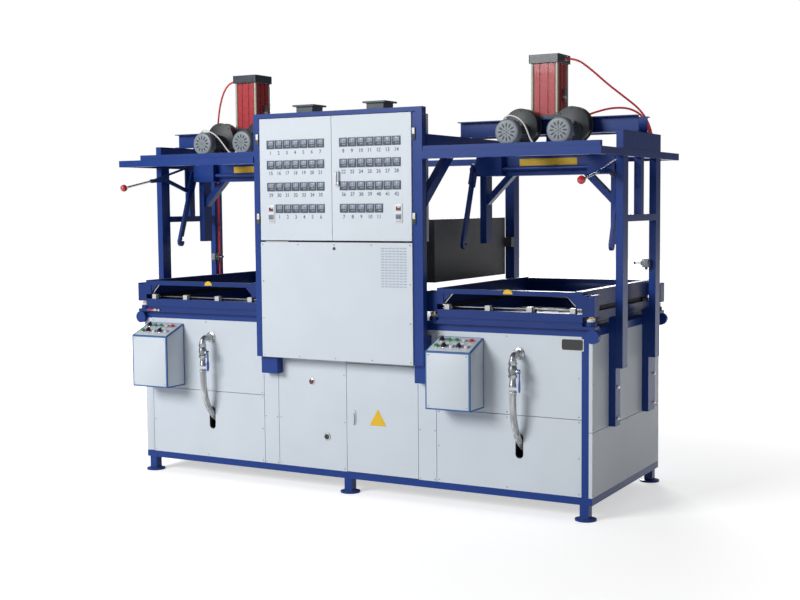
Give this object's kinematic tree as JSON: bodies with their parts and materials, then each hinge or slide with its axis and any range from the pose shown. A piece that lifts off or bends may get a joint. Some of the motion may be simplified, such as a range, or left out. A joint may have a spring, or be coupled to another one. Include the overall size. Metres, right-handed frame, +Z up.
{
  "type": "vacuum forming machine",
  "caption": "Twin-station vacuum forming machine with a centre console and oven, pneumatic presses with locking hooks, lifting clamp frames and a panelled base.",
  "frame": {"origin": "on the floor, under the middle of the front foot in the centre of the machine", "axes": "+X runs to the right along the machine seen from its front, +Y to its back, +Z up"},
  "size_m": [3.168, 1.4197, 2.505],
  "materials": {
    "bed_aluminium": "milled",
    "blower_black": "satin",
    "button_green": "gloss",
    "clamp_blue": "gloss",
    "cowl_dark": "satin",
    "cylinder_red": "gloss",
    "frame_blue": "gloss",
    "heater_ceramic": "matte",
    "hook_steel": "satin",
    "hose_clear": "gloss",
    "hose_red": "gloss",
    "knob_red": "gloss",
    "lever_blue": "gloss",
    "module_black": "matte",
    "motor_grey": "satin",
    "oven_grey": "satin",
    "panel_grey": "satin",
    "switch_grey": "matte",
    "valve_steel": "brushed"
  },
  "bodies": {
    "machine": {"air_hose_left_upper": "hose_red", "air_hose_right_lower": "hose_red", "air_hose_right_upper": "hose_red", "base_frame": "frame_blue", "bed_left": "bed_aluminium", "bed_right": "bed_aluminium", "blower_motors_left": "motor_grey", "blower_motors_right": "motor_grey", "blowers_left": "blower_black", "blowers_right": "blower_black", "centre_deck": "panel_grey", "centre_panels": "panel_grey", "centre_rear_posts": "frame_blue", "console_cabinet": "panel_grey", "console_frame": "frame_blue", "console_panel": "panel_grey", "control_box_left": "panel_grey", "control_box_right": "panel_grey", "control_buttons_left": "button_green", "control_buttons_right": "button_green", "cross_channels_left": "frame_blue", "cross_channels_right": "frame_blue", "cylinder_left": "cylinder_red", "cylinder_right": "cylinder_red", "drain_hose_left": "hose_clear", "drain_hose_right": "hose_clear", "drain_valve_left": "valve_steel", "drain_valve_right": "valve_steel", "exhaust_cowls": "cowl_dark", "front_panels_left": "panel_grey", "front_panels_right": "panel_grey", "gantry_posts_left": "frame_blue", "gantry_posts_right": "frame_blue", "heater_elements": "heater_ceramic", "heating_oven": "oven_grey", "limit_switches": "switch_grey", "lower_clamp_left": "clamp_blue", "lower_clamp_right": "clamp_blue", "rail_frame": "frame_blue", "rear_panels": "panel_grey", "side_beams": "frame_blue", "side_panels_left": "panel_grey", "side_panels_right": "panel_grey", "top_frame": "frame_blue"},
    "press_left": {"press_frame_left": "frame_blue"},
    "hooks_left": {"hook_shaft_left": "hook_steel", "lever_ball_left": "knob_red"},
    "clamp_left": {"upper_clamp_left": "clamp_blue"},
    "door_left": {"console_door_left": "panel_grey", "power_modules_left": "module_black"},
    "drain_tap_left": {"drain_lever_left": "lever_blue"},
    "press_right": {"press_frame_right": "frame_blue"},
    "hooks_right": {"hook_shaft_right": "hook_steel", "lever_ball_right": "knob_red"},
    "clamp_right": {"upper_clamp_right": "clamp_blue"},
    "door_right": {"console_door_right": "panel_grey", "power_modules_right": "module_black"},
    "drain_tap_right": {"drain_lever_right": "lever_blue"},
    "electrics_door": {"electrical_door": "panel_grey"}
  },
  "joints": [
    {"name": "press_left_stroke", "type": "slide", "parent": "machine", "child": "press_left", "axis": [0, 0, 1], "range_m": [-0.22, 0]},
    {"name": "hooks_left_swing", "type": "hinge", "parent": "press_left", "child": "hooks_left", "pos_m": [-1.031, 0.465, 1.871], "axis": [1, 0, 0], "range_deg": [0, 25]},
    {"name": "clamp_left_lift", "type": "slide", "parent": "machine", "child": "clamp_left", "axis": [0, 0, 1], "range_m": [0, 0.06]},
    {"name": "press_right_stroke", "type": "slide", "parent": "machine", "child": "press_right", "axis": [0, 0, 1], "range_m": [-0.22, 0]},
    {"name": "hooks_right_swing", "type": "hinge", "parent": "press_right", "child": "hooks_right", "pos_m": [1.031, 0.465, 1.871], "axis": [1, 0, 0], "range_deg": [0, 25]},
    {"name": "clamp_right_lift", "type": "slide", "parent": "machine", "child": "clamp_right", "axis": [0, 0, 1], "range_m": [0, 0.06]},
    {"name": "console_door_left_swing", "type": "hinge", "parent": "machine", "child": "door_left", "pos_m": [-0.5167, -0.127, 1.825], "axis": [0, 0, -1], "range_deg": [0, 110]},
    {"name": "console_door_right_swing", "type": "hinge", "parent": "machine", "child": "door_right", "pos_m": [0.4925, -0.127, 1.825], "axis": [0, 0, 1], "range_deg": [0, 110]},
    {"name": "electrical_door_swing", "type": "hinge", "parent": "machine", "child": "electrics_door", "pos_m": [0.463, -0.025, 0.44], "axis": [0, 0, 1], "range_deg": [0, 95]},
    {"name": "drain_lever_left_turn", "type": "hinge", "parent": "machine", "child": "drain_tap_left", "pos_m": [-0.941, -0.11, 0.783], "axis": [-1, 0, 0], "range_deg": [0, 90]},
    {"name": "drain_lever_right_turn", "type": "hinge", "parent": "machine", "child": "drain_tap_right", "pos_m": [1.121, -0.11, 0.783], "axis": [-1, 0, 0], "range_deg": [0, 90]}
  ]
}
